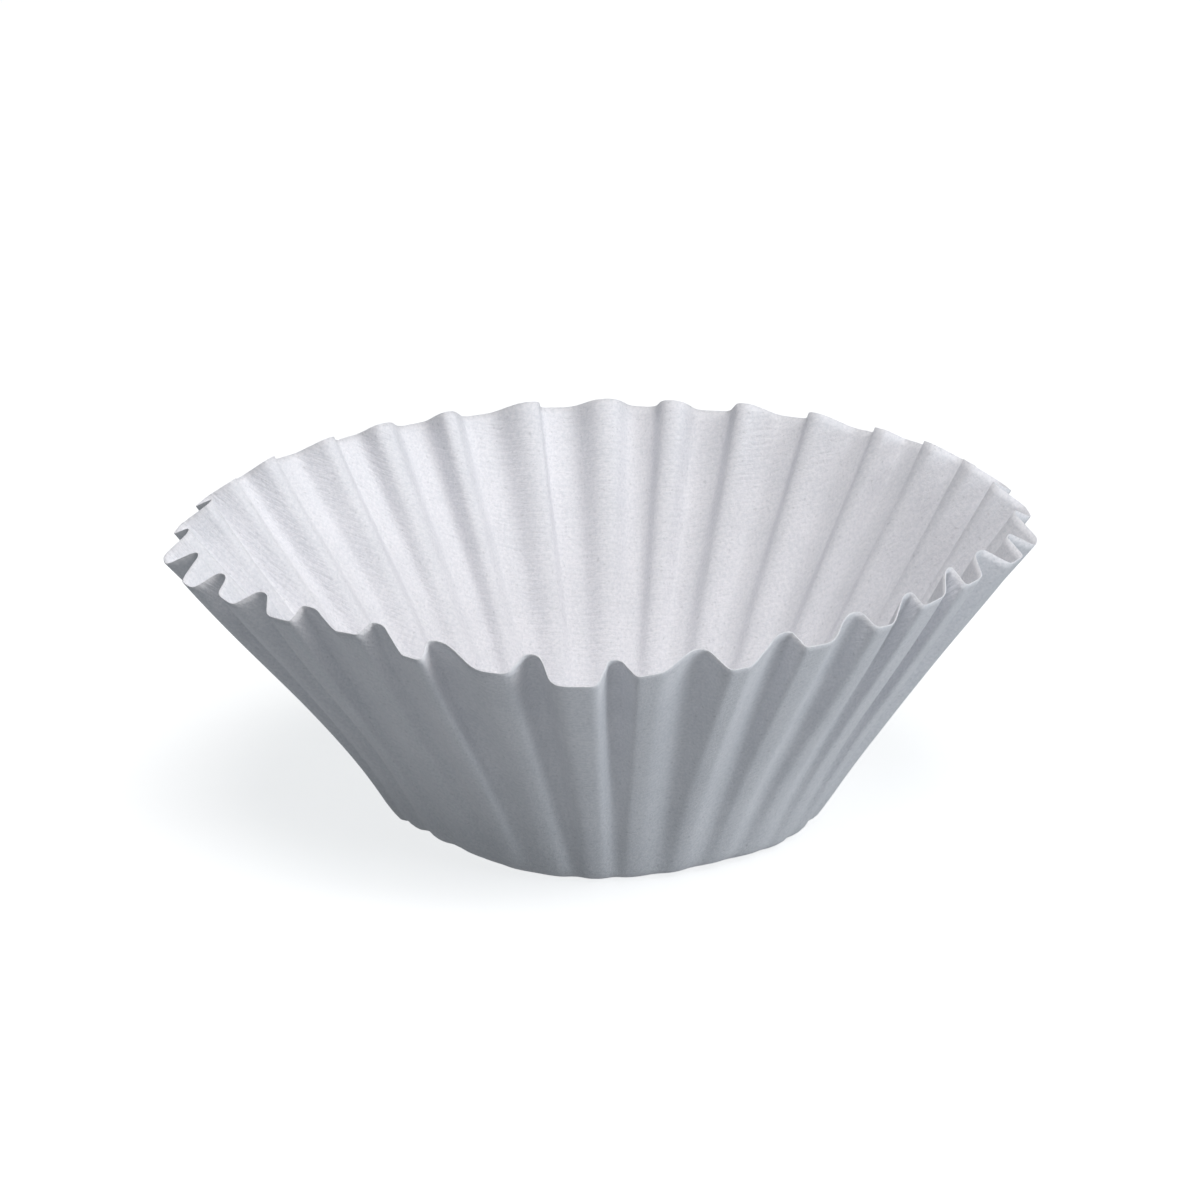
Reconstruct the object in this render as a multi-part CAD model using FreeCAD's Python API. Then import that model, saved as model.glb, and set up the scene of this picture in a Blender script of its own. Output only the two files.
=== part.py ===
"""Fluted basket coffee filter: one round sheet of filter paper pressed into a flat-bottomed cup.

A flat disc of crepe paper is pressed between two fluted dies. The middle of the disc stays flat and is
the floor. Round it the paper bends up into a sloping wall. The edge of the cup is a shorter circle than
the edge of the disc was, and the spare paper is taken up in flutes. They start at nothing where the
bend ends, and grow evenly to their full depth at the cut edge, which is the depth that keeps the
disc's edge as long as it was. Each flute is an outer face, a steep flank, an inner face and a second
flank. The creases between them are rounded, more and more towards the edge. Every line from the bend
to the edge is straight.

The frame: +Z is up and is the axis of the cup. The origin is the middle of the floor's underside, so
the filter stands on the plane z = 0. The middle of one inner face lies in the half plane y = 0, x > 0.
All lengths are in millimetres and all angles in degrees.
"""

import FreeCAD, Part
import math
import os

# Driving dimensions. Each is written here once, and goes into the sheet under this name.
SIZES = {
    "blank_radius": 108.0,  # radius of the flat disc before it is pressed
    "base_radius": 39.7,  # out to the corner where floor and wall would meet without a bend
    "bend_radius": 3.0,  # of the bend between floor and wall, at mid thickness
    "wall_slope": 56.0,  # of the wall above the floor's plane
    "flute_count": 32,
    "outer_face_width": 4.2,  # between its two creases at the edge, before they are rounded
    "inner_face_width": 1.4,
    "crease_share": 0.5,  # of half a face's width, at the edge, that goes into each rounded crease
    "paper_thickness": 0.15,
}

SEW_TOLERANCE = 1e-5
DEPTH_TOLERANCE = 1e-4

# The underside of the flat disc becomes the outside of the cup.
OUTSIDE = 1
MIDDLE = 0
INSIDE = -1


def make_sheet(doc):
    """The spreadsheet that holds the driving dimensions."""
    sheet = doc.addObject("Spreadsheet::Sheet", "sizes")
    for row, (name, value) in enumerate(SIZES.items(), start=1):
        sheet.set(f"A{row}", name)
        sheet.set(f"B{row}", str(value))
        sheet.setAlias(f"B{row}", name)
    doc.recompute()
    return sheet


class Pressing:
    """What the driving dimensions work out to, at the middle of the paper's thickness."""

    def __init__(self, sheet):
        self.thickness = float(sheet.paper_thickness)
        self.count = round(float(sheet.flute_count))
        self.pitch = 2 * math.pi / self.count
        self.slope = math.radians(float(sheet.wall_slope))
        self.blank = float(sheet.blank_radius)
        self.outer_half = float(sheet.outer_face_width) / 2
        self.inner_half = float(sheet.inner_face_width) / 2
        self.crease_share = float(sheet.crease_share)

        # The mean wall in section: floor, bend, then a straight slope up to the edge.
        bend = float(sheet.bend_radius)
        floor_radius = float(sheet.base_radius) - bend * math.tan(self.slope / 2)
        wall_length = self.blank - floor_radius - bend * self.slope
        self.start_radius = floor_radius + bend * math.sin(self.slope)
        self.start_height = self.thickness / 2 + bend * (1 - math.cos(self.slope))
        self.edge_radius = self.start_radius + wall_length * math.cos(self.slope)
        self.edge_height = self.start_height + wall_length * math.sin(self.slope)
        self.flute_depth = self.depth_that_takes_the_paper()

    def set_corners(self, depth):
        """Places the creases' ends at the edge, for flutes of that depth square to the mean wall."""
        out = depth / 2 * math.sin(self.slope)
        down = depth / 2 * math.cos(self.slope)
        outer_radius = self.edge_radius + out
        inner_radius = self.edge_radius - out
        self.outer_corner = at(outer_radius, 0, self.edge_height - down, self.outer_half)
        self.inner_corner = at(inner_radius, self.pitch / 2, self.edge_height + down, -self.inner_half)

    def depth_that_takes_the_paper(self):
        """The depth at which one flute's edge is as long as its share of the flat disc's edge."""
        paper = self.pitch * self.blank
        low = 0.0
        high = paper / 2
        while high - low > DEPTH_TOLERANCE:
            depth = (low + high) / 2
            self.set_corners(depth)
            if sum(curve.Length for curve in Flute(self, MIDDLE).edge()) < paper:
                low = depth
            else:
                high = depth
        return depth

    def up_wall(self, angle):
        """The direction straight up the mean wall, in the half plane at that angle."""
        return at(math.cos(self.slope), angle, math.sin(self.slope))


def at(radius, angle, height, aside=0.0):
    """The point at that radius and height in the half plane at angle, moved aside square to the plane."""
    x = radius * math.cos(angle) - aside * math.sin(angle)
    y = radius * math.sin(angle) + aside * math.cos(angle)
    return FreeCAD.Vector(x, y, height)


def mirrored(point):
    """The point on the other side of the plane y = 0."""
    return FreeCAD.Vector(point.x, -point.y, point.z)


def turned(point, angle):
    """The point turned about the axis of the cup."""
    x = point.x * math.cos(angle) - point.y * math.sin(angle)
    y = point.x * math.sin(angle) + point.y * math.cos(angle)
    return FreeCAD.Vector(x, y, point.z)


def paper_plane(points, distance):
    """The plane through three points moved out of the cup, as its unit normal and its offset."""
    a, b, c = points
    normal = (b - a).cross(c - a).normalize()
    if normal.z > 0:
        normal = -normal
    return normal, normal.dot(a) + distance


def common_point(first, second, third):
    """The point where three planes meet."""
    (n1, d1), (n2, d2), (n3, d3) = first, second, third
    total = n2.cross(n3) * d1 + n3.cross(n1) * d2 + n1.cross(n2) * d3
    return total / n1.dot(n2.cross(n3))


class Flank:
    """The points of one flank on one side of the paper: its start, and six along the cut edge.

    The creases of a flank run from its start to its two corners. Each is rounded between a point on
    the face beside it and a point on the flank.
    """

    def __init__(self, points):
        self.points = points
        (
            self.start,
            self.outer_on_face,
            self.outer_corner,
            self.outer_on_flank,
            self.inner_on_flank,
            self.inner_corner,
            self.inner_on_face,
        ) = points

    def moved(self, move, *values):
        return Flank([move(point, *values) for point in self.points])

    def edge(self):
        """The cut edge of the flank: the outer crease, the straight between, the inner crease."""
        return [
            rounded_corner(self.outer_on_face, self.outer_corner, self.outer_on_flank),
            line(self.outer_on_flank, self.inner_on_flank),
            rounded_corner(self.inner_on_flank, self.inner_corner, self.inner_on_face),
        ]


def first_flank(press, side):
    """The flank between the outer face at angle 0 and the inner face half a pitch round from it."""
    half_pitch = press.pitch / 2
    start = at(press.start_radius, half_pitch / 2, press.start_height)
    next_start = at(press.start_radius, 1.5 * half_pitch, press.start_height)
    shift = side * press.thickness / 2
    outer_face = paper_plane((start, mirrored(start), press.outer_corner), shift)
    inner_face = paper_plane((start, next_start, press.inner_corner), shift)
    flank = paper_plane((start, press.outer_corner, press.inner_corner), shift)

    # The cut is square to the mean wall. The three planes of the paper meet in the flank's start.
    outer_cut = press.up_wall(0)
    inner_cut = press.up_wall(half_pitch)
    outer_corner = common_point(outer_face, flank, (outer_cut, outer_cut.dot(press.outer_corner)))
    inner_corner = common_point(inner_face, flank, (inner_cut, inner_cut.dot(press.inner_corner)))
    start = common_point(outer_face, inner_face, flank)

    # An outer crease is rounder on the outside of the cup, and an inner crease on the inside.
    along = (inner_corner - outer_corner).normalize()
    outer_middle = at(0, 0, 0, -1)
    inner_middle = at(0, half_pitch, 0, 1)
    outer_turn = math.acos(-along.dot(outer_middle))
    inner_turn = math.acos(along.dot(inner_middle))
    outer_reach = press.crease_share * press.outer_half + shift * math.tan(outer_turn / 2)
    inner_reach = press.crease_share * press.inner_half - shift * math.tan(inner_turn / 2)
    return Flank(
        [
            start,
            outer_corner + outer_middle * outer_reach,
            outer_corner,
            outer_corner + along * outer_reach,
            inner_corner - along * inner_reach,
            inner_corner,
            inner_corner + inner_middle * inner_reach,
        ]
    )


def line(a, b):
    return Part.LineSegment(a, b).toShape()


def flat(points):
    """The flat face inside a polygon."""
    return Part.Face(Part.makePolygon([*points, points[0]]))


def rounded_corner(first, corner, last):
    """The arc that leaves one side of a corner at first and joins the other side at last."""
    middle = (first + last) / 2
    half_chord = (last - first).Length / 2
    side = (corner - first).Length
    rise = half_chord * (side - half_chord) / (corner - middle).Length
    return Part.Arc(first, middle + (corner - middle).normalize() * rise, last).toShape()


def fan(start, curve):
    """The face that straight lines from one point to a curve sweep out."""
    return Part.makeLoft([Part.Vertex(start), Part.Wire(curve)], False, True).Faces[0]


class Flute:
    """One flute on one side of the paper: an outer face, both its flanks, and one inner face."""

    def __init__(self, press, side):
        self.right = first_flank(press, side)
        self.left = self.right.moved(mirrored)
        self.next_left = self.left.moved(turned, press.pitch)

    def edge(self):
        """The cut edge of the flute, curve by curve."""
        outer_face = line(self.left.outer_on_face, self.right.outer_on_face)
        inner_face = line(self.right.inner_on_face, self.next_left.inner_on_face)
        return [outer_face, *self.right.edge(), inner_face, *self.left.edge()]

    def wall(self):
        """The outer face, the inner face, and both flanks with their creases."""
        right, left, after = self.right, self.left, self.next_left
        outer_face = flat([left.start, right.start, right.outer_on_face, left.outer_on_face])
        inner_face = flat([right.start, after.start, after.inner_on_face, right.inner_on_face])
        fans = [fan(flank.start, curve) for flank in (right, left) for curve in flank.edge()]
        return [outer_face, inner_face, *fans]

    def bend(self, press, floor_height):
        """The bend below the outer and the inner face, and the two corners it gives to the floor."""
        starts = [self.left.start, self.right.start, self.next_left.start]
        arcs = [bend_arc(press, start, floor_height) for start in starts]
        faces = [Part.makeRuledSurface(a, b) for a, b in zip(arcs, arcs[1:])]
        return faces, [arc.Vertexes[0].Point for arc in arcs[1:]]


def bend_arc(press, top, floor_height):
    """The arc of the bend from the floor up to where a flank starts."""
    radius = (top.z - floor_height) / (1 - math.cos(press.slope))
    angle = math.atan2(top.y, top.x)
    centre = math.hypot(top.x, top.y) - radius * math.sin(press.slope)
    half = press.slope / 2
    middle = at(centre + radius * math.sin(half), angle, floor_height + radius * (1 - math.cos(half)))
    return Part.Arc(at(centre, angle, floor_height), middle, top).toShape()


def flute_angles(press):
    """Where the flutes stand, each by the middle of its outer face."""
    return [(k + 0.5) * press.pitch for k in range(press.count)]


def all_round(press, shape):
    """The shape of one flute, repeated once for each flute."""
    copies = []
    for angle in flute_angles(press):
        copy = shape.copy()
        copy.rotate(FreeCAD.Vector(0, 0, 0), FreeCAD.Vector(0, 0, 1), math.degrees(angle))
        copies.append(copy)
    return copies


def pressed_sheet(press):
    """The whole sheet as one closed solid: two floors, two walls and the cut edge between them."""
    outside = Flute(press, OUTSIDE)
    inside = Flute(press, INSIDE)
    faces = []
    one_flute = [Part.makeRuledSurface(a, b) for a, b in zip(outside.edge(), inside.edge())]
    for flute, floor_height in ((outside, 0.0), (inside, press.thickness)):
        bend, corners = flute.bend(press, floor_height)
        one_flute += flute.wall() + bend
        faces.append(flat([turned(corner, a) for a in flute_angles(press) for corner in corners]))
    for face in one_flute:
        faces += all_round(press, face)

    shell = Part.Shell(faces)
    shell.sewShape(SEW_TOLERANCE)
    solid = Part.Solid(shell)
    if solid.Volume < 0:
        solid.reverse()
    return solid


def stop_unless_sound(doc, parts):
    """Raises if an object failed to recompute, or if a sub-part isn't one valid solid."""
    for thing in doc.Objects:
        if {"Invalid", "Error"} & set(thing.State):
            raise RuntimeError(f"{thing.Label} did not recompute: {thing.State}")
    for thing in parts:
        shape = thing.Shape
        if shape.isNull() or not shape.isValid() or len(shape.Solids) != 1:
            raise RuntimeError(f"{thing.Label} is not one valid solid")


def main():
    doc = FreeCAD.newDocument("basket_filter")
    press = Pressing(make_sheet(doc))

    # The sheet is neither a prism nor a turned shape: each face fans out from a point of the bend.
    paper = doc.addObject("Part::Feature", "filter_sheet")
    paper.Label = "filter_sheet"
    paper.Shape = pressed_sheet(press)
    paper.Placement = FreeCAD.Placement()
    doc.recompute()

    parts = [paper]
    stop_unless_sound(doc, parts)
    os.makedirs("parts", exist_ok=True)
    for thing in parts:
        thing.Shape.exportStep(f"parts/{thing.Label}.step")

    box = paper.Shape.BoundBox
    print(f"filter_sheet: {box.XLength:.2f} x {box.YLength:.2f} x {box.ZLength:.2f} mm")
    print(f"lowest point {box.ZMin:.3f} mm, volume {paper.Shape.Volume:.0f} mm3")
    print(f"the flutes are {press.flute_depth:.2f} mm deep at the edge")
    return doc


main()
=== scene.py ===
# %% [markdown]
# # A fluted paper coffee filter
#
# A basket filter starts as a flat round sheet of thin, soft paper. It is pressed between two fluted
# dies, which leave a flat floor in the middle and a wall of flutes round it. This lesson makes it the
# same way: it cuts a flat disc, works out what the dies do to its edge, presses the disc by moving its
# points, and only then gives the sheet its thickness, its finish and its light. The fluted wall could
# also be drawn as it stands, but paper hardly stretches: a sheet that starts flat keeps its own area,
# and its grain follows it into every flute.
#
# The solid model comes first, as a fixed frame. It gives the place and the size of everything. Lengths
# are in metres, +Z is up, and the filter stands on the plane z = 0 with its axis on the Z axis.

import math
import random

import bmesh
import bpy
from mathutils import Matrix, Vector, noise


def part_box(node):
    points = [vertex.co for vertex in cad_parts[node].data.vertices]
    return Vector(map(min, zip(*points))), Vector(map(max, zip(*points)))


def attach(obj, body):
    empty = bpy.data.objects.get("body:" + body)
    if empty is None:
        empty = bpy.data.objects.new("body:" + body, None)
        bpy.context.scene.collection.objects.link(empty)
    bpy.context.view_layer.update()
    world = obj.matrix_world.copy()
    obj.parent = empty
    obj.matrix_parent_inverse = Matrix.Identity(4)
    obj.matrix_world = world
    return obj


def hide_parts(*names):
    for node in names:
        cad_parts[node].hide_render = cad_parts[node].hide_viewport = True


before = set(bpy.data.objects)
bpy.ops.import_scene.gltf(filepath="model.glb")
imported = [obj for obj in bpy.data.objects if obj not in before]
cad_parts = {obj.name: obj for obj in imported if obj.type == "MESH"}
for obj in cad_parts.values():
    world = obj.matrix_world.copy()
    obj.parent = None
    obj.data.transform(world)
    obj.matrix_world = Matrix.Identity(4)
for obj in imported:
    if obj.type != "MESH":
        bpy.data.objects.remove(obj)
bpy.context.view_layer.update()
sheet_low, sheet_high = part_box("filter_sheet")
print("solid model:", [round(1000 * (b - a), 1) for a, b in zip(sheet_low, sheet_high)], "mm")

# %% [markdown]
# ## The sizes of the pressing
#
# A few sizes say it all: the disc, the floor, the bend round it and the slope of the wall. The wall is
# as long as the disc leaves it. At the edge there is more paper than room, and the flutes take it up.

# %% Sizes
MM = 0.001
BLANK_RADIUS = 108.0 * MM
BASE_RADIUS = 39.7 * MM
BEND_RADIUS = 4.5 * MM
WALL_SLOPE = math.radians(56.0)
PAPER_THICKNESS = 0.15 * MM
FLUTES = 32

PITCH = 2 * math.pi / FLUTES
FLOOR_RADIUS = BASE_RADIUS - BEND_RADIUS * math.tan(WALL_SLOPE / 2)
BEND_LENGTH = BEND_RADIUS * WALL_SLOPE
WALL_LENGTH = BLANK_RADIUS - FLOOR_RADIUS - BEND_LENGTH
WALL_START_RADIUS = FLOOR_RADIUS + BEND_RADIUS * math.sin(WALL_SLOPE)
WALL_START_HEIGHT = PAPER_THICKNESS / 2 + BEND_RADIUS * (1 - math.cos(WALL_SLOPE))
EDGE_RADIUS = WALL_START_RADIUS + WALL_LENGTH * math.cos(WALL_SLOPE)
print("one flute has", round(PITCH * BLANK_RADIUS / MM, 1), "mm of paper at the edge")
print("and stands in", round(PITCH * EDGE_RADIUS / MM, 1), "mm of room")

# %% [markdown]
# ## The flutes at the cut edge
#
# Looked at along the wall, the cut edge is a wave. Each flute has a wide outer face and a narrow inner
# face, with a steep flank between them. One flute could be drawn once and copied, but in soft paper no
# two are alike. The flutes at the front follow the photograph. They are counted round from the right,
# and each stands near the middle of its own pitch.

# %% The flutes at the front
FLUTE_DEPTH = 5.4 * MM
OUTER_FACE_ANGLE = 4.2
INNER_FACE_ANGLE = 2.2

# For each flute: how many degrees its outer face is turned from the middle of its pitch, how wide that
# face is, how far the inner face before it is turned, and how deep the flute is in millimetres.
FRONT_FLUTES = {
    18: (0.3, 5.0, 0.0, 4.4),
    19: (1.0, 4.6, 0.3, 4.0),
    20: (2.4, 3.7, -0.8, 4.2),
    21: (2.2, 3.0, 0.6, 5.6),
    22: (2.2, 4.3, -1.0, 5.4),
    23: (1.6, 5.7, 1.4, 6.6),
    24: (-0.1, 3.3, 1.1, 4.6),
    25: (0.3, 2.8, 1.3, 6.2),
    26: (0.8, 4.2, 2.4, 4.8),
    27: (0.4, 3.2, 2.6, 5.0),
    28: (-0.2, 5.0, 2.2, 4.4),
    29: (-1.5, 4.6, 2.0, 4.4),
}
print("flutes at the front:", len(FRONT_FLUTES), "of", FLUTES)

# %% [markdown]
# The other flutes get their own numbers by chance. The seed is fixed, so the same filter comes out
# each time. Every flute then has four corners: two at its inner face and two at its outer face.

# %% Corners of the edge
SEED = 11
TURN_RANGE = 0.8
SHARE_RANGE = (0.85, 1.15)
INNER_WIDTH_RANGE = (0.75, 1.4)
INNER_DEPTH_RANGE = 0.4 * MM

chance = random.Random(SEED)


def other_flute():
    """The same four numbers for a flute that the photograph doesn't show."""
    turn = chance.uniform(-TURN_RANGE, TURN_RANGE)
    width = OUTER_FACE_ANGLE * chance.uniform(*SHARE_RANGE)
    inner_turn = chance.uniform(-TURN_RANGE, TURN_RANGE)
    depth = FLUTE_DEPTH / MM * chance.uniform(*SHARE_RANGE)
    return turn, width, inner_turn, depth


def corners(number):
    """The four corners of a flute's edge, as degrees round the cup and metres out of its mean wall."""
    turn, width, inner_turn, depth = FRONT_FLUTES.get(number) or other_flute()
    inner = math.degrees(PITCH) * number + inner_turn
    outer = math.degrees(PITCH) * (number + 0.5) + turn
    inner_width = INNER_FACE_ANGLE * chance.uniform(*INNER_WIDTH_RANGE)
    bottom = -FLUTE_DEPTH / 2 + chance.uniform(-INNER_DEPTH_RANGE, INNER_DEPTH_RANGE)
    top = depth * MM - FLUTE_DEPTH / 2
    return [
        (inner - inner_width / 2, bottom),
        (inner + inner_width / 2, bottom),
        (outer - width / 2, top),
        (outer + width / 2, top),
    ]


edge_corners = [corner for number in range(FLUTES) for corner in corners(number)]
edge_corners.append((edge_corners[0][0] + 360, edge_corners[0][1]))
print("corners round the edge:", len(edge_corners) - 1)

# %% [markdown]
# The corners become a dense row of points, with the same number of points for every inner face, every
# flank and every outer face. For each point the row holds how far it is turned from an even spacing, and
# how far it stands out.

# %% Points along the edge
# How many points one inner face, one flank and one outer face get.
STEPS_OF_FACE = {"inner": 24, "flank": 70, "outer": 76}
STEPS_PER_FLUTE = STEPS_OF_FACE["inner"] + 2 * STEPS_OF_FACE["flank"] + STEPS_OF_FACE["outer"]
STEPS = FLUTES * STEPS_PER_FLUTE

edge_turns = []
edge_offsets = []
sides = ["inner", "flank", "outer", "flank"] * FLUTES
for side, (start, start_offset), (end, end_offset) in zip(sides, edge_corners, edge_corners[1:]):
    count = STEPS_OF_FACE[side]
    for step in range(count):
        share = step / count
        even_angle = 360 * (len(edge_turns) - STEPS_OF_FACE["inner"] / 2) / STEPS
        edge_turns.append(math.radians(start + (end - start) * share - even_angle))
        edge_offsets.append(start_offset + (end_offset - start_offset) * share)
print("points along the edge:", len(edge_turns))

# %% [markdown]
# A crease in soft paper is never a sharp line. The row is smoothed by a running mean, which rounds each
# crease. The further the mean reaches, the softer the crease. Near the cut edge the creases are crisp,
# some more than others, and near the floor they are soft. The reach changes from one crease to the next
# in the middle of an outer face, where the row is straight and a mean changes nothing.

# %% Softening a row
SOFT_REACH = 27
CRISP_REACHES = (6, 17)


def softened(values, reaches):
    """A closed ring of values, each replaced by the mean over its own reach to both sides, twice."""
    count = len(values)
    for _ in range(2):
        sums = [0.0]
        for value in values * 3:
            sums.append(sums[-1] + value)
        values = []
        for i, reach in enumerate(reaches):
            first = count + i - reach
            last = count + i + reach + 1
            values.append((sums[last] - sums[first]) / (last - first))
    return values


to_outer_middle = STEPS_OF_FACE["inner"] + STEPS_OF_FACE["flank"] + STEPS_OF_FACE["outer"] // 2
reach_at_crease = [chance.randint(*CRISP_REACHES) for _ in range(FLUTES)]
crisp_reaches = []
for step in range(STEPS):
    crease = (step - to_outer_middle) // STEPS_PER_FLUTE + 1
    crisp_reaches.append(reach_at_crease[crease % FLUTES])
soft_reaches = [SOFT_REACH] * STEPS
flute_reaches = [STEPS_PER_FLUTE // 2] * STEPS
print("crisp creases reach", min(crisp_reaches), "to", max(crisp_reaches), "points")

# %% [markdown]
# A mean over a whole flute leaves only how far the flute itself is turned. That part holds all the way
# down the wall. The rest is the shape of the single flute, which grows from the floor to the edge.

# %% Round the creases
flute_turns = softened(edge_turns, flute_reaches)
edge_turns = [turn - slow for turn, slow in zip(edge_turns, flute_turns)]
crisp_turns = softened(edge_turns, crisp_reaches)
crisp_offsets = softened(edge_offsets, crisp_reaches)
soft_turns = softened(edge_turns, soft_reaches)
soft_offsets = softened(edge_offsets, soft_reaches)
print("wave from", round(min(crisp_offsets) / MM, 2), "to", round(max(crisp_offsets) / MM, 2), "mm")

# %% [markdown]
# ## The flat disc
#
# The disc is a row of points along one radius, extruded point by point and then spun round the axis.
# The rows are close together in the bend, where the paper curves most, and the columns are close
# enough to round every crease.

# %% Cut the disc
COLUMNS = 26 * FLUTES
FLOOR_ROWS = 5
BEND_ROWS = 5
WALL_ROWS = 42
SAME_POINT = 0.01 * MM

row_distances = [FLOOR_RADIUS * i / FLOOR_ROWS for i in range(FLOOR_ROWS)]
row_distances += [FLOOR_RADIUS + BEND_LENGTH * i / BEND_ROWS for i in range(BEND_ROWS)]
row_distances += [BLANK_RADIUS - WALL_LENGTH * (1 - i / WALL_ROWS) for i in range(WALL_ROWS + 1)]

bm = bmesh.new()
point = bm.verts.new((0, 0, 0))
for near, far in zip(row_distances, row_distances[1:]):
    extruded = bmesh.ops.extrude_vert_indiv(bm, verts=[point])
    point = extruded["verts"][0]
    bmesh.ops.translate(bm, verts=[point], vec=(far - near, 0, 0))
bmesh.ops.spin(
    bm,
    geom=bm.verts[:] + bm.edges[:],
    cent=(0, 0, 0),
    axis=(0, 0, 1),
    angle=2 * math.pi,
    steps=COLUMNS,
    use_merge=True,
)
bmesh.ops.remove_doubles(bm, verts=bm.verts, dist=SAME_POINT)
print("flat disc:", len(bm.verts), "points,", len(bm.faces), "faces")

# %% [markdown]
# A spun surface can come out facing down, so the disc is turned to face up. The flat place of each
# point is kept as its UV, so that the grain of the paper can follow the sheet into the flutes.

# %% Face up, and remember the flat place
bmesh.ops.recalc_face_normals(bm, faces=bm.faces)
if sum(face.normal.z for face in bm.faces) < 0:
    bmesh.ops.reverse_faces(bm, faces=bm.faces)

flat_map = bm.loops.layers.uv.new("flat_sheet")
for face in bm.faces:
    for loop in face.loops:
        loop[flat_map].uv = (
            0.5 + loop.vert.co.x / (2 * BLANK_RADIUS),
            0.5 + loop.vert.co.y / (2 * BLANK_RADIUS),
        )
print("faces that look up:", sum(face.normal.z > 0 for face in bm.faces))

# %% [markdown]
# ## The section of the cup
#
# Each point of the disc knows how far it lies from the middle. That says where it ends up in the
# section of the cup: on the floor, in the bend, or up the wall. The wall isn't quite straight. It sags
# inwards a little in its lower half, more on the left than on the right.

# %% Section
WALL_HOLLOW = 1.3 * MM
HOLLOW_TO_THE_LEFT = 0.4

# The sag follows share * (1 - share) ** 2, which is 4 / 27 at its deepest.
HOLLOW_SCALE = 27 / 4


def section(distance, angle):
    """Radius, height and slope of the mean wall, at that distance from the middle of the disc."""
    middle = PAPER_THICKNESS / 2
    if distance <= FLOOR_RADIUS:
        return distance, middle, 0.0
    if distance <= FLOOR_RADIUS + BEND_LENGTH:
        slope = (distance - FLOOR_RADIUS) / BEND_RADIUS
        radius = FLOOR_RADIUS + BEND_RADIUS * math.sin(slope)
        return radius, middle + BEND_RADIUS * (1 - math.cos(slope)), slope
    up = distance - FLOOR_RADIUS - BEND_LENGTH
    share = up / WALL_LENGTH
    deepest = WALL_HOLLOW * (1 - HOLLOW_TO_THE_LEFT * math.cos(angle))
    hollow = HOLLOW_SCALE * deepest * share * (1 - share) ** 2
    radius = WALL_START_RADIUS + up * math.cos(WALL_SLOPE) - hollow * math.sin(WALL_SLOPE)
    height = WALL_START_HEIGHT + up * math.sin(WALL_SLOPE) + hollow * math.cos(WALL_SLOPE)
    return radius, height, WALL_SLOPE


print("straight wall, height:", round(section(BLANK_RADIUS, 0)[1] / MM, 1), "mm")

# %% [markdown]
# A soft cup isn't quite round either. At the front, the left and the right the edge leans out a little
# further, and between them a little less. The corner round the floor stands off the table in places.

# %% Where the cup isn't round
# Each bulge of the wall: its place and half width in degrees, and how far out the cut edge goes there.
BULGES = (
    (269, 18, 3.0 * MM),
    (231, 12, -1.8 * MM),
    (326, 17, -1.8 * MM),
    (184, 11, 2.8 * MM),
    (355, 11, 2.4 * MM),
)

# Where the corner round the floor is lifted: the same three numbers.
LIFTS = (
    (212, 24, 3.6 * MM),
    (300, 16, 0.9 * MM),
    (350, 20, 1.0 * MM),
)


def swell(bumps, angle):
    """The height at that angle of a few smooth bumps round the cup."""
    total = 0.0
    for place, half_width, size in bumps:
        away = ((math.degrees(angle) - place + 180) % 360 - 180) / half_width
        total += size * math.exp(-away * away)
    return total


print("front edge leans out by", round(swell(BULGES, math.radians(270)) / MM, 1), "mm")

# %% [markdown]
# ## Pressing
#
# The angle of a point says which part of the wave it belongs to. The wave starts in the bend, small
# and soft, and grows towards the edge, so every crease runs down the wall as a nearly straight line.
# On top of that, soft paper swells and dips a little by chance, more where it is far from the floor.

# %% Wave and swells of the wall
# How crisp the creases are where the wall starts, from 0 for soft to 1 for crisp.
CRISP_AT_FLOOR = 0.2

# How far the paper strays out of the wall, how many swells there are round it and up it, and how soon
# they reach their full size.
FOLD_SOFTNESS = 0.35 * MM
FOLDS_ROUND_CUP = 9
FOLDS_UP_WALL = 2.2
FOLD_GROWTH = 3

# How far the cut edge strays up and down, in longer swells from another place of the noise.
EDGE_UNEVENNESS = 0.5 * MM
EDGE_TO_FOLDS = 0.7
ELSEWHERE = Vector((7, 0, 0))


def wave(angle, share):
    """How far the wave turns a point and stands it out, and how far its flute is turned."""
    step = round(angle / (2 * math.pi) * STEPS + STEPS_OF_FACE["inner"] / 2) % STEPS
    crisp = min(1.0, CRISP_AT_FLOOR + share)
    turn = crisp * crisp_turns[step] + (1 - crisp) * soft_turns[step]
    offset = crisp * crisp_offsets[step] + (1 - crisp) * soft_offsets[step]
    return turn, offset, flute_turns[step]


def softness(round_cup, share):
    """How far soft paper strays by chance, out of the wall and along it."""
    place = round_cup * FOLDS_ROUND_CUP + Vector((0, 0, FOLDS_UP_WALL * share))
    outward = FOLD_SOFTNESS * min(1.0, FOLD_GROWTH * share) * noise.noise(place)
    upward = EDGE_UNEVENNESS * share**3 * noise.noise(place * EDGE_TO_FOLDS + ELSEWHERE)
    return outward, upward


print("swells at the cut edge:", [round(size / MM, 2) for size in softness(Vector((0, -1, 0)), 1)], "mm")

# %% [markdown]
# A point's place is the sum of all this. The section gives its radius and height, the wave and the
# swells push it out of the wall or along it, and the wave also turns it round the cup.

# %% Where the dies put a point
# How deep the wave is where the bend ends, as a share of its depth at the edge, and how unevenly.
DEPTH_AT_BEND = 0.13
BEND_LUMPS = 1.2
LUMPS_ROUND_CUP = 4

# How far from the corner round the floor a lift still raises the paper.
CORNER_REACH = 9.0 * MM


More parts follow.
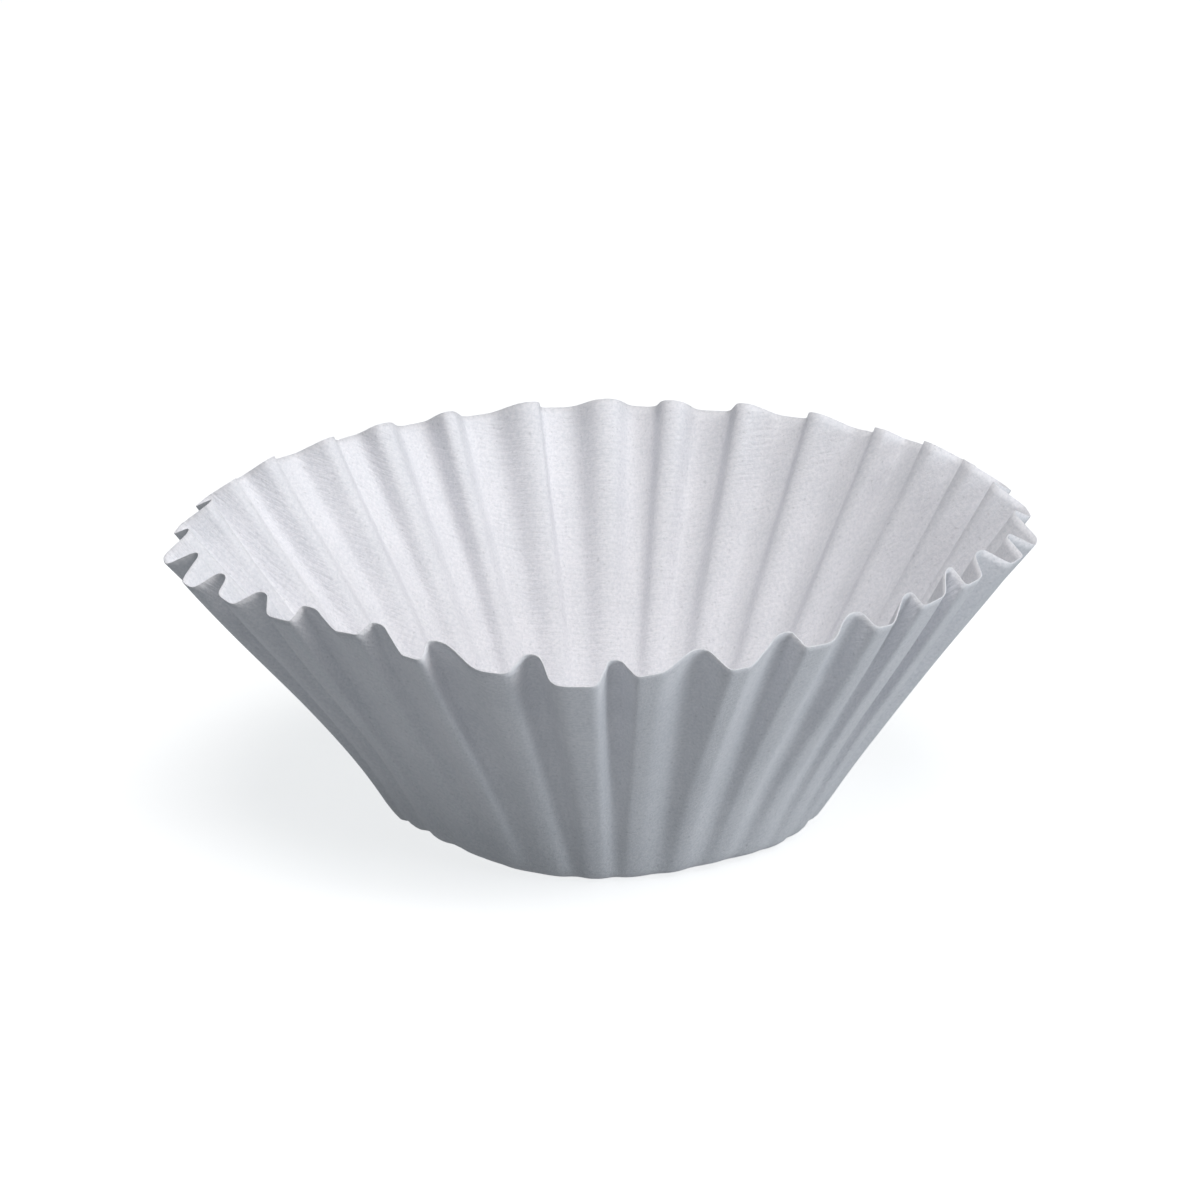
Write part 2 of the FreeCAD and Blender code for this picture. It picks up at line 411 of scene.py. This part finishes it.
def pressed(point):
    """Where a point of the flat disc is after pressing."""
    distance = point.length
    angle = math.atan2(point.y, point.x) % (2 * math.pi)
    radius, height, slope = section(distance, angle)
    share = max(0.0, (distance - FLOOR_RADIUS - BEND_LENGTH) / WALL_LENGTH)
    in_bend = min(1.0, max(0.0, (distance - FLOOR_RADIUS) / BEND_LENGTH))
    round_cup = Vector((math.cos(angle), math.sin(angle), 0))
    lumps = 1 + BEND_LUMPS * noise.noise(round_cup * LUMPS_ROUND_CUP)
    depth = DEPTH_AT_BEND * lumps * in_bend * (1 - share) + share

    turn, offset, flute_turn = wave(angle, share)
    soft_outward, upward = softness(round_cup, share)
    outward = offset * depth + swell(BULGES, angle) * share * share + soft_outward
    radius += outward * math.sin(slope) + upward * math.cos(slope)
    height += upward * math.sin(slope) - outward * math.cos(slope)

    near_corner = max(0.0, 1 - abs(distance - BASE_RADIUS) / CORNER_REACH)
    height += swell(LIFTS, angle) * near_corner**2
    turned = angle + flute_turn
    if radius > 0:
        turned += turn * depth * EDGE_RADIUS / radius
    return Vector((radius * math.cos(turned), radius * math.sin(turned), height))


# %% [markdown]
# Every point of the disc moves to its pressed place, and the whole sheet then moves up or down until its
# lowest point rests on the table.

# %% Press the disc
for vert in bm.verts:
    vert.co = pressed(vert.co)
lowest = min(vert.co.z for vert in bm.verts)
bmesh.ops.translate(bm, verts=bm.verts, vec=(0, 0, PAPER_THICKNESS / 2 - lowest))
print("pressed: edge at", round(max(v.co.xy.length for v in bm.verts) / MM, 1), "mm from the axis")

# %% [markdown]
# ## From a surface to paper
#
# The bmesh becomes an object, smooth to look at, and a Solidify modifier gives it the paper's
# thickness, half to each side. The piece stands in for the solid of the same form, which stays in the
# physics model, and rides on the one body that the filter has.

# %% Make the sheet
sheet_mesh = bpy.data.meshes.new("pressed_paper")
bm.to_mesh(sheet_mesh)
bm.free()
sheet_mesh.polygons.foreach_set("use_smooth", [True] * len(sheet_mesh.polygons))
pressed_paper = bpy.data.objects.new("pressed_paper", sheet_mesh)
bpy.context.scene.collection.objects.link(pressed_paper)

thickness = pressed_paper.modifiers.new("paper_thickness", "SOLIDIFY")
thickness.thickness = PAPER_THICKNESS
thickness.offset = 0.0
thickness.use_even_offset = True

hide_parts("filter_sheet")
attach(pressed_paper, "root")
print("sheet:", len(sheet_mesh.polygons), "faces,", round(PAPER_THICKNESS / MM, 2), "mm thick")

# %% [markdown]
# ## A short way to write shader maths
#
# A material is a graph of nodes, and a long graph is hard to read as code. The small class below wraps
# one output of a node. Adding or multiplying two of them adds the Math node that does it, so a formula
# in the script reads as a formula.

# %% Shader maths
class Signal:
    """One output socket of a material's graph, with operators that add Math nodes."""

    def __init__(self, tree, socket=None):
        self.tree = tree
        self.socket = socket

    def node(self, kind, settings=None, inputs=None, output=0):
        """Adds a node of that kind to the same graph, and gives one of its outputs."""
        node = self.tree.nodes.new(kind)
        for name, value in (settings or {}).items():
            setattr(node, name, value)
        for name, value in (inputs or {}).items():
            if isinstance(value, Signal):
                self.tree.links.new(value.socket, node.inputs[name])
            else:
                node.inputs[name].default_value = value
        return Signal(self.tree, node.outputs[output])

    def maths(self, operation, first, second):
        """Adds a Math node."""
        return self.node("ShaderNodeMath", {"operation": operation}, {0: first, 1: second})

    def mix(self, first, second):
        """Adds a mix of two colours, with this signal as its factor."""
        # A Mix node keeps sockets for every type of data, so the ones for colours go by number.
        colours = {0: self, 6: first, 7: second}
        return self.node("ShaderNodeMix", {"data_type": "RGBA"}, colours, output=2)

    def to(self, shader, name):
        """Links this signal to one of a shader's inputs."""
        self.tree.links.new(self.socket, shader.inputs[name])

    def __add__(self, other):
        return self.maths("ADD", self, other)

    def __radd__(self, other):
        return self.maths("ADD", other, self)

    def __sub__(self, other):
        return self.maths("SUBTRACT", self, other)

    def __rsub__(self, other):
        return self.maths("SUBTRACT", other, self)

    def __mul__(self, other):
        return self.maths("MULTIPLY", self, other)

    def __rmul__(self, other):
        return self.maths("MULTIPLY", other, self)


def new_material(name):
    """A material with an empty graph, its shader, and a signal to start the graph from."""
    material = bpy.data.materials.new(name)
    material.use_nodes = True
    shader = material.node_tree.nodes["Principled BSDF"]
    return material, shader, Signal(material.node_tree)


# %% [markdown]
# ## The paper's finish
#
# Filter paper is white, matt and soft. Close up it has four kinds of detail: clouds, where the pulp
# lies thicker; short fibres; a few grey specks; and crepe, a fine ripple that runs straight across the
# whole sheet. Each is noise of its own size. Noise in space would cut straight through the flutes, so
# all four are laid on the UV map, which is the sheet while it was flat.

# %% Grain of the sheet
SHEET_WIDTH = 2 * BLANK_RADIUS
CREPE_STRETCH = (0.16, 1.0, 1.0)


def grain(place, size, detail, roughness):
    """Noise at that place of the flat sheet, with spots of about that size."""
    inputs = {"Vector": place, "Scale": SHEET_WIDTH / size, "Detail": detail, "Roughness": roughness}
    return place.node("ShaderNodeTexNoise", inputs=inputs)


paper, paper_shader, start = new_material("filter_paper")
flat_place = start.node("ShaderNodeUVMap", {"uv_map": "flat_sheet"})
along_crepe = start.node("ShaderNodeMapping", inputs={"Vector": flat_place, "Scale": CREPE_STRETCH})

clouds = grain(flat_place, size=9.0 * MM, detail=4.0, roughness=0.6)
fibres = grain(flat_place, size=0.7 * MM, detail=3.0, roughness=0.8)
crepe = grain(along_crepe, size=0.7 * MM, detail=2.0, roughness=0.5)
speckle = grain(flat_place, size=0.9 * MM, detail=1.0, roughness=0.5)
print("grain:", len(paper.node_tree.nodes), "nodes")

# %% [markdown]
# The clouds, the fibres and the specks go into the colour. A speck is only where its noise is highest.

# %% Colour of the paper
PAPER_WHITE = (0.88, 0.872, 0.90, 1)
PAPER_CLOUD = (0.76, 0.765, 0.80, 1)
PAPER_SPECK = (0.50, 0.50, 0.52, 1)
CLOUD_CONTRAST = 1.2
FIBRE_CONTRAST = 4.0
SPECK_RANGE = {"From Min": 0.66, "From Max": 0.74, "To Max": 0.32}

shade = CLOUD_CONTRAST * (clouds - 0.5) + FIBRE_CONTRAST * (fibres - 0.5) + 0.5
pulp = shade.mix(PAPER_WHITE, PAPER_CLOUD)
specks = start.node("ShaderNodeMapRange", inputs={"Value": speckle, **SPECK_RANGE})
specks.mix(pulp, PAPER_SPECK).to(paper_shader, "Base Color")
print("colour:", len(paper.node_tree.nodes), "nodes")

# %% [markdown]
# The crepe and the fibres go into a bump. Roughness and gloss are the same all over, so they are set
# on the shader itself.

# %% Surface of the paper
RELIEF_DEPTH = 0.19 * MM
FIBRE_RELIEF = 0.8

relief = crepe + FIBRE_RELIEF * fibres
bump_inputs = {"Height": relief, "Strength": 1.0, "Distance": RELIEF_DEPTH}
start.node("ShaderNodeBump", inputs=bump_inputs).to(paper_shader, "Normal")
paper_shader.inputs["Roughness"].default_value = 0.92
paper_shader.inputs["Specular IOR Level"].default_value = 0.2
sheet_mesh.materials.append(paper)
print("filter paper:", len(paper.node_tree.nodes), "nodes")

# %% [markdown]
# ## Floor, light and camera
#
# The filter stands on a plain pale floor. Stronger lamps would turn that floor white, but they would
# wash out the paper as well. So the floor is white only where the camera sees it, or would see it in
# gloss or glass. To all other light it is a dark grey with a faint glow. That glow, and what the floor
# gives back of the lamps, are all that lights the wall from below, and the filter keeps a soft shadow.
# A Light Path node says which kind of ray is asking.

# %% Rays that show the background
BACKGROUND_RAYS = ("Camera", "Glossy", "Transmission")


def shows_background(start):
    """1 for the rays that show the background: from the camera, or by way of gloss or glass."""
    path = start.node("ShaderNodeLightPath").socket.node
    camera_ray, gloss, glass = [
        Signal(start.tree, path.outputs[f"Is {kind} Ray"]) for kind in BACKGROUND_RAYS
    ]
    return camera_ray + gloss + glass


# %% Floor
FLOOR_SIZE = 6.0
FLOOR_UNSEEN = (0.20, 0.212, 0.224, 1)
FLOOR_SEEN = (0.50, 0.50, 0.50, 1)
GLOW_UNSEEN = (0.143, 0.149, 0.152, 1)
GLOW_SEEN = (0.74, 0.75, 0.755, 1)

floor_bm = bmesh.new()
bmesh.ops.create_grid(floor_bm, x_segments=1, y_segments=1, size=FLOOR_SIZE / 2)
floor_mesh = bpy.data.meshes.new("studio_floor")
floor_bm.to_mesh(floor_mesh)
floor_bm.free()
floor = bpy.data.objects.new("studio_floor", floor_mesh)
bpy.context.scene.collection.objects.link(floor)

floor_paint, floor_shader, start = new_material("floor_paint")
seen = shows_background(start)
seen.mix(FLOOR_UNSEEN, FLOOR_SEEN).to(floor_shader, "Base Color")
seen.mix(GLOW_UNSEEN, GLOW_SEEN).to(floor_shader, "Emission Color")
floor_shader.inputs["Emission Strength"].default_value = 1.0
floor_shader.inputs["Roughness"].default_value = 0.9
floor_mesh.materials.append(floor_paint)
print("floor:", FLOOR_SIZE, "m wide")

# %% [markdown]
# The room round the floor is treated in the same way: white to the camera, and a faint bluish light to
# the filter.

# %% Room
ROOM_UNSEEN = (0.070, 0.089, 0.102, 1)
ROOM_SEEN = (1, 1, 1, 1)

world = bpy.data.worlds.new("studio")
bpy.context.scene.world = world
world.use_nodes = True
background = world.node_tree.nodes["Background"]
seen = shows_background(Signal(world.node_tree))
seen.mix(ROOM_UNSEEN, ROOM_SEEN).to(background, "Color")
print("room:", len(world.node_tree.nodes), "nodes")

# %% [markdown]
# A large lamp overhead fills the inside of the cup and leaves the outside of the wall, which faces down,
# in a soft grey shade, as in the photograph. Two smaller lamps stand at the right, one high and one low.
# They make the side of each flute that faces them lighter, and so draw the flutes.

# %% Light
def area_light(name, position, size, power, colour=(1, 1, 1)):
    """A square lamp that shines at the middle of the cup."""
    data = bpy.data.lights.new(name, "AREA")
    data.size = size
    data.energy = power
    data.color = colour
    lamp = bpy.data.objects.new(name, data)
    lamp.location = position
    aim = Vector((0, 0, sheet_high[2] / 2)) - Vector(position)
    lamp.rotation_euler = aim.to_track_quat("-Z", "Y").to_euler()
    bpy.context.scene.collection.objects.link(lamp)
    return lamp


overhead = area_light("overhead", (0.1, -0.45, 1.35), size=1.0, power=13.5, colour=(1.0, 0.972, 0.96))
key = area_light("key", (1.05, -0.6, 1.1), size=0.6, power=6.0)
fill = area_light("fill", (1.35, -0.85, 0.22), size=0.6, power=7.4, colour=(0.88, 0.95, 1.0))
print("lamps:", [(lamp.name, round(lamp.data.energy, 1)) for lamp in (overhead, key, fill)])

# %% [markdown]
# The camera looks down at the cup by about 18 degrees, from far enough away to show it without much
# perspective. It is rolled by a degree: in the photograph the right side of the edge is a little higher.

# %% Camera
CAMERA_DISTANCE = 1.50
CAMERA_DOWN = math.radians(18.4)
CAMERA_AIM_HEIGHT = 41.9 * MM
CAMERA_ASIDE = -0.9 * MM
CAMERA_ROLL = math.radians(1.2)
CAMERA_LENS = 238.0
SENSOR_WIDTH = 36.0

camera_data = bpy.data.cameras.new("camera")
camera_data.lens = CAMERA_LENS
camera_data.sensor_width = SENSOR_WIDTH
camera_data.clip_start = 0.01
camera = bpy.data.objects.new("camera", camera_data)
camera.location = (
    CAMERA_ASIDE,
    -CAMERA_DISTANCE * math.cos(CAMERA_DOWN),
    CAMERA_AIM_HEIGHT + CAMERA_DISTANCE * math.sin(CAMERA_DOWN),
)
camera.rotation_euler = (math.pi / 2 - CAMERA_DOWN, 0, 0)
camera.rotation_euler.rotate_axis("Z", -CAMERA_ROLL)
bpy.context.scene.collection.objects.link(camera)
bpy.context.scene.camera = camera
bpy.context.scene.view_settings.view_transform = "Standard"
print("camera shows", round(SENSOR_WIDTH / CAMERA_LENS * CAMERA_DISTANCE / MM), "mm at the cup")
